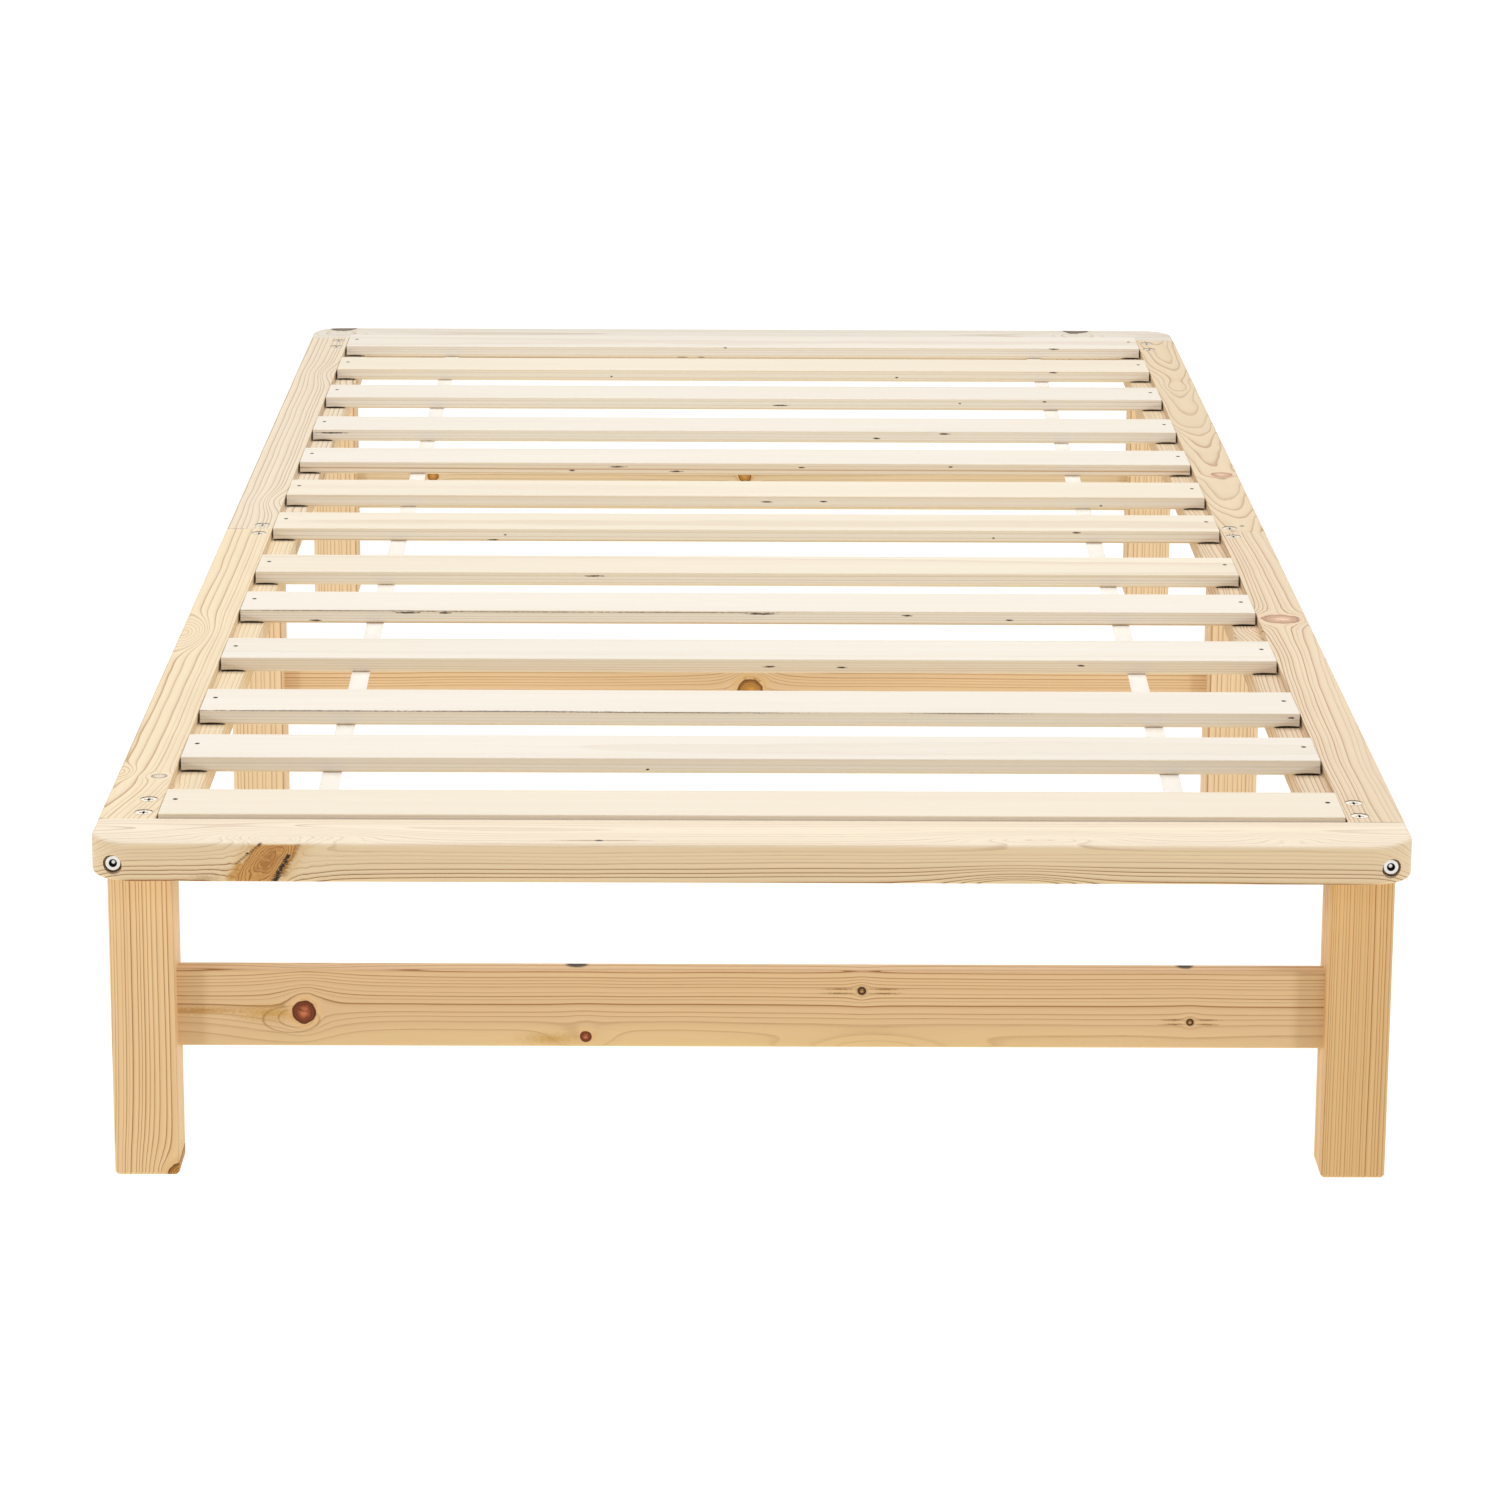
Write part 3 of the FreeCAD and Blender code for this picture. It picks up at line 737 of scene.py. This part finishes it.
def left_rear_wood():
    """Wide, slightly wavy lines with two bulges at the rebate."""
    return dict(
        tone="soft_rail", grain="Y", pith=millimetres(-560, RAIL_TOP), spacing=4.8 * MM, wander=2 * MM,
        waves=1.6 * MM, contrast=1.1,
        lumps=[lump((-412, 116, RAIL_TOP), (22, 40, 40), 2.2),
               lump((-408, 736, RAIL_TOP), (22, 45, 40), 2.5)],
        flecks=[seam_line()])


def right_front_wood():
    """Plain at its outer edge and lined within, with a large pale knot and a joint at the front rail."""
    return dict(
        tone="warm_rail", grain="Y", pith=millimetres(470, 300), spacing=3.0 * MM, wander=9 * MM,
        waves=2.4 * MM, plain=40 * MM, lined=68 * MM, contrast=1.5,
        knots=[knot((428, -329, RAIL_TOP), (0, 0, 1), 32, "pale")],
        flecks=[fleck((430, JOINT_LINE, RAIL_TOP), (23, 1.6, 4), SHADE_AND_JOINT_DARK, 0.6, torn=0.5)])


def right_rear_wood():
    """Flat-sawn, with pointed loops, a pale knot and a small dark spot near the seam."""
    return dict(
        tone="loop_rail", grain="Y", pith=millimetres(432, 193), slope=(0, 0.03), spacing=2.0 * MM,
        waves=3 * MM, contrast=0.9,
        knots=[knot((434.5, 247, RAIL_TOP), (0, 0, 1), 20, "pale")],
        lumps=[lump((432, 678, RAIL_TOP), (13, 26, 30), -2)],
        flecks=[fleck((431.5, 25, RAIL_TOP), (2.2, 2.2, 3), torn=0.2)])


def dress_rails():
    """Each rail has its own wood. The side rails also have the shade at their screws and slats."""
    rails = {"front_rail": front_rail_wood(), "rear_rail": rear_rail_wood(),
             "left_front_side_rail": left_front_wood(), "left_rear_side_rail": left_rear_wood(),
             "right_front_side_rail": right_front_wood(), "right_rear_side_rail": right_rear_wood()}
    for number, (name, wood) in enumerate(rails.items()):
        if "side" in name:
            side = -1 if name.startswith("left") else 1
            low, high = (corner.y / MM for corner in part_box(name))
            wood["flecks"] += slat_gap_shade(side, low, high) + screw_rim_shade(side, low, high)
        dress(name, pine(name + "_wood", seed=RAIL_SEED + number, **wood))


def leg_wood(row, side, sign):
    """The pith is beside the leg, so its lines run straight up and lie closer on its far side."""
    low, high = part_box(f"{row}_{side}_leg")
    inner, outer = (high.x, low.x) if sign < 0 else (low.x, high.x)
    wood = dict(tone="leg", pith=(inner - sign * 5 * MM, low.y + 18 * MM), spacing=2.3 * MM, contrast=1.1)
    if row != "front":
        wood.update(tone="inner_leg", spacing=3.2 * MM, contrast=0.8)
    elif side == "right":
        wood.update(tone="dark_leg", pith=(outer + 14 * MM, low.y + 20 * MM), spacing=2.0 * MM)
    else:
        wood.update(knots=[knot((-399, -928, 0), (0, 1, 0), 20, "gold")])
    return wood


def dress_legs():
    """Six legs with straight lines. The front ones are darker, and the left of them has a knot."""
    for number, row in enumerate(("front", "middle", "rear")):
        for side, sign in (("left", -1), ("right", 1)):
            name = f"{row}_{side}_leg"
            seed = LEG_SEED + 2 * number + sign
            wood = pine(name + "_wood", grain="Z", seed=seed, wander=1.2 * MM, waves=0.6 * MM,
                        **leg_wood(row, side, sign))
            dress(name, wood)


def pin_streaks():
    """Dark streaks on both sides of the front stretcher's pin knots."""
    marks = []
    for x, z, _, reach in PIN_KNOTS:
        for sign in (-1, 1):
            for rise in PIN_STREAK_RISES:
                place = (x + sign * reach * PIN_STREAK_START, FRONT_STRETCHER_FACE, z + rise)
                marks.append(fleck(place, (reach, 4, 1.3), STREAK_BROWN, 0.95, soft=0.3))
    return marks


def front_stretcher_marks():
    """Two red knots in amber wood, two pin knots with streaks, loops, and pitch at its upper edge."""
    face = FRONT_STRETCHER_FACE
    knots = [knot((-312, face, 116), (0.1, 1, 0.1), 17), knot((-115.5, face, 98.5), (0, 1, 0.1), 8.5)]
    knots += [knot((x, face, z), (0, 1, 0), diameter, "pin") for x, z, diameter, _ in PIN_KNOTS]
    stains_and_painted_light = [fleck((0, face, 88), (470, 10, 22), PALE_YELLOW, 0.6, soft=0.2, torn=0.3),
              fleck((-336, face, 115), (44, 10, 11), AMBER, 0.9, soft=0.2),
              fleck((-385, face, 117), (60, 10, 5), GOLD, 0.8, soft=0.3),
              fleck((-140, face, 97), (40, 10, 8), AMBER, 0.85, soft=0.1)]
    stains_and_painted_light += [fleck((x, face, z), half, STREAK_BROWN, 0.5, soft=0.99, outer=1.08, torn=0.08, hollow=0.97)
               for x, z, half in ALMOND_LOOPS]
    lumps = [lump((-325, face, 110), (42, 12, 14), 1.2), lump((-118, face, 99), (22, 12, 9), 1.5),
             lump((88, face, 90), (55, 12, 11), 3)]
    flecks = [fleck((-122, face + 14, 147), (9, 8, 4), torn=0.4),
              fleck((304, face + 15, 147), (7, 8, 4), torn=0.4)]
    return dict(knots=knots, stains_and_painted_light=stains_and_painted_light + pin_streaks(), lumps=lumps, flecks=flecks)


def dress_stretchers():
    """Three boards whose lines run level, with the pith behind them."""
    middle = [knot((4, MIDDLE_STRETCHER_FACE, 121), (0, 1, 0.2), 24, "gold")]
    rear = [knot((3, REAR_STRETCHER_FACE, 126.5), (0, 1, 0.2), 14, "gold"),
            knot((-322, REAR_STRETCHER_FACE, 126), (0, 1, 0.2), 12, "gold")]
    boards = {"front": dict(tone="stretcher", pith=millimetres(-884.5, 94), **front_stretcher_marks()),
              "middle": dict(tone="stretcher", pith=millimetres(24, 88), knots=middle),
              "rear": dict(tone="rear_stretcher", pith=millimetres(930, 90), knots=rear)}
    for number, (row, board) in enumerate(boards.items()):
        wood = pine(f"{row}_stretcher_wood", grain="X", seed=STRETCHER_SEED + number, wander=2 * MM,
                    contrast=1.1, plain=33 * MM, lined=41 * MM, quiet=0.4, **board)
        dress(f"{row}_stretcher", wood)


def slat_painted_light(number, low, high):
    """Painted light: a paler, cooler tone over both long faces of most slats, standing in for cooler light on
    them.
    """
    if number in WARM_EDGED_SLATS:
        return []
    centre = (low + high) / 2
    return [fleck((0, edge / MM, centre.z / MM), (900, 5, 6), PAINTED_LIGHT_PALE, 0.45, soft=0.3, torn=0.3)
            for edge in (low.y, high.y)]


def slat_flecks(number, low, high):
    """Pitch in a slat's front edge, painted shade where it lies on the ledges, and painted shade round its
    nails.
    """
    front, bottom, top = low.y / MM, low.z / MM, high.z / MM
    centre = (low + high) / 2
    nail_y = centre.y / MM + NAIL_BEHIND_CENTRE
    marks = []
    for x, height, half in SLAT_FLECKS.get(number, ()):
        thick, strength = (0.7, 0.7) if half > LONG_FLECK else (1.1, 1.0)
        marks.append(fleck((x, front, bottom + height), (half * FLECK_SPREAD, 5, thick), strength=strength))
    for side in (-1, 1):
        bed = (side * LEDGE_MIDDLE, front, bottom)
        # painted shade where the slat lies on the ledge, and round each nail's sunken head
        marks.append(fleck(bed, (13, 4, 2.1), SHADE_AND_JOINT_DARK, soft=0.85, outer=1.05, torn=0.15))
        marks.append(fleck((side * NAIL_LINE, nail_y, top), (1.9, 2.5, 2), SHADE_AND_JOINT_DARK, 0.95, torn=0.2))
    return marks


def dress_slats():
    """The pith is far above each slat, whose top is plain and whose edges have flat lines."""
    choose = random.Random(SLAT_DRAWS)
    for number, name in enumerate(SLATS, 1):
        low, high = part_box(name)
        centre = (low + high) / 2
        depth = choose.uniform(320, 480) * MM
        pith = (centre.y + choose.uniform(-10, 10) * MM, high.z + depth)
        slope = (0, choose.uniform(-1, 1) * MM)
        spacing = choose.uniform(2.4, 3.6) * MM
        tone = "cream_slat" if number in CREAM_SLATS else "slat"
        contrast = SLAT_CONTRAST.get(number, USUAL_SLAT_CONTRAST)
        wood = pine(name + "_wood", tone, "X", pith, SLAT_SEED + number, slope, spacing, wander=0.8 * MM,
                    waves=0.3 * MM, contrast=contrast, plain=depth + 1.5 * MM, lined=depth + 5 * MM,
                    stains_and_painted_light=slat_painted_light(number, low, high), flecks=slat_flecks(number, low, high))
        dress(name, wood)


def dress_fasteners():
    """Bright zinc for bolts, nuts and staples, warmer zinc for screws, dull nails and beech dowels."""
    dress("corner_bolts", steel("bolt_zinc", BRIGHT_ZINC, BOLT_ROUGHNESS, bolt_socket))
    dress("leg_screws", steel("screw_zinc", SCREW_ZINC, SCREW_ROUGHNESS, cross_recess))
    zinc = steel("bright_zinc", BRIGHT_ZINC, ZINC_ROUGHNESS)
    for node in ("barrel_nuts", "strap_staples"):
        dress(node, zinc)
    dress("slat_nails", steel("dull_nail_steel", NAIL_STEEL, NAIL_ROUGHNESS))
    beech = pine("beech", "dowel", "X", (0, 0), DOWEL_SEED, spacing=1.6 * MM, contrast=0.35)
    for node in ("corner_dowels", "seam_dowels", "stretcher_dowels"):
        dress(node, beech)


def strap_line():
    """Height of a strap's upper face along the bed: flat under each slat and slack between two."""
    slats = [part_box(slat) for slat in SLATS]
    bottom = min(low.z for low, _ in slats)

    def height(y):
        for (_, before), (after, _) in zip(slats, slats[1:]):
            if before.y < y < after.y:
                share = (y - before.y) / (after.y - before.y)
                return bottom - STRAP_SAG * math.sin(math.pi * share) ** STRAP_SAG_POWER
        return bottom
    return height


def strap_outline(middle, half):
    """The (x, z) points round a strap's cut end, with rounded selvages."""
    radius = STRAP_THICK / 2
    outline = []
    for side, start in ((1, -90), (-1, 90)):
        for step in range(STRAP_EDGE_POINTS):
            turn = math.radians(start + 180 * step / (STRAP_EDGE_POINTS - 1))
            across = side * (half - radius) + math.cos(turn) * radius
            outline.append((middle + across, math.sin(turn) * radius))
    return outline


def tube_faces(ring, count):
    """The faces of a closed tube of rings with that many points: its sides and its two ends."""
    faces = []
    for first in range(0, count * ring, ring):
        for spot in range(ring):
            after = (spot + 1) % ring
            faces.append((first + spot, first + after, first + ring + after, first + ring + spot))
    faces.append(tuple(range(ring))[::-1])
    faces.append(tuple(count * ring + spot for spot in range(ring)))
    return faces


def strap(name, material):
    """A woven ribbon in the place of the strap's solid."""
    low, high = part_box(name)
    half = (high.x - low.x) / 2
    outline = strap_outline((low.x + high.x) / 2, half)
    height = strap_line()
    count = round((high.y - low.y) / STRAP_STEP)
    points = []
    for row in range(count + 1):
        y = low.y + (high.y - low.y) * row / count
        points += [(x, y, height(y) - STRAP_THICK / 2 + z) for x, z in outline]
    mesh = bpy.data.meshes.new(name + "_webbing")
    mesh.from_pydata(points, [], tube_faces(len(outline), count))
    mesh.shade_smooth()
    mesh.materials.append(material)
    piece = bpy.data.objects.new(name + "_webbing", mesh)
    bpy.context.scene.collection.objects.link(piece)
    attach(piece, "root")
    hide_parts(name)


def seen_ray(n):
    """1 where the floor or the room is seen, also in a gloss, and 0 where it only gives light."""
    ray = n.add("ShaderNodeLightPath").outputs
    return n.math("MAXIMUM", ray["Is Camera Ray"], ray["Is Glossy Ray"])


def floor():
    """A pale floor that glows a little, so that it stays white in the bed's shade."""
    half = FLOOR_SIZE / 2
    corners = [(-half, -half, 0), (half, -half, 0), (half, half, 0), (-half, half, 0)]
    mesh = bpy.data.meshes.new("floor")
    mesh.from_pydata(corners, [], [(0, 1, 2, 3)])
    piece = bpy.data.objects.new("floor", mesh)
    piece.location.z = -FLOOR_DROP
    bpy.context.scene.collection.objects.link(piece)
    material, n = new_material("pale_floor")
    shader = n.add("ShaderNodeBsdfPrincipled", {
        "Base Color": FLOOR_ALBEDO, "Roughness": FLOOR_ROUGHNESS, "Specular IOR Level": 0.0,
        "Emission Color": n.mix(seen_ray(n), FLOOR_GLOW, FLOOR_WHITE), "Emission Strength": 1.0})
    n.add("ShaderNodeOutputMaterial", {"Surface": shader.outputs[0]})
    material.cycles.emission_sampling = "NONE"
    mesh.materials.append(material)


def softbox(name, place, target, size, colour, power):
    """A square soft lamp at a place, turned to its target."""
    light = bpy.data.lights.new(name, "AREA")
    light.shape = "SQUARE"
    light.size = size
    light.color = colour
    light.energy = power
    lamp = bpy.data.objects.new(name, light)
    lamp.location = place
    lamp.rotation_euler = (Vector(target) - Vector(place)).to_track_quat("-Z", "Y").to_euler()
    bpy.context.scene.collection.objects.link(lamp)


def studio():
    """Soft light from above and from both front corners, in a white room that adds little light itself."""
    softbox("overhead", **OVERHEAD_LAMP)
    for name, side in (("front_left", -1), ("front_right", 1)):
        softbox(name, (side * FRONT_LAMP_ASIDE, FRONT_LAMP_Y, FRONT_LAMP_HEIGHT), **FRONT_LAMP)
    world = bpy.data.worlds.new("studio")
    world.use_nodes = True
    n = Nodes(world.node_tree)
    room = n.add("ShaderNodeBackground", {"Color": n.mix(seen_ray(n), ROOM_DIM, ROOM_WHITE)})
    n.add("ShaderNodeOutputWorld", {"Surface": room.outputs[0]})
    bpy.context.scene.world = world
    bpy.context.scene.view_settings.view_transform = "Standard"


def camera():
    """The camera of the photograph, fitted to the corners of the frame."""
    data = bpy.data.cameras.new("camera")
    data.lens = CAMERA_LENS_MM
    data.sensor_width = CAMERA_SENSOR_MM
    turn = Matrix.Rotation(CAMERA_YAW, 4, "Z") @ Matrix.Rotation(math.pi / 2 - CAMERA_PITCH_DOWN, 4, "X")
    turn = turn @ Matrix.Rotation(CAMERA_ROLL, 4, "Z")
    piece = bpy.data.objects.new("camera", data)
    piece.matrix_world = Matrix.Translation(CAMERA_PLACE) @ turn
    bpy.context.scene.collection.objects.link(piece)
    bpy.context.scene.camera = piece


camera()
studio()
floor()
dress_rails()
dress_legs()
dress_stretchers()
dress_slats()
dress_fasteners()
tape = webbing()
strap("left_strap", tape)
strap("right_strap", tape)
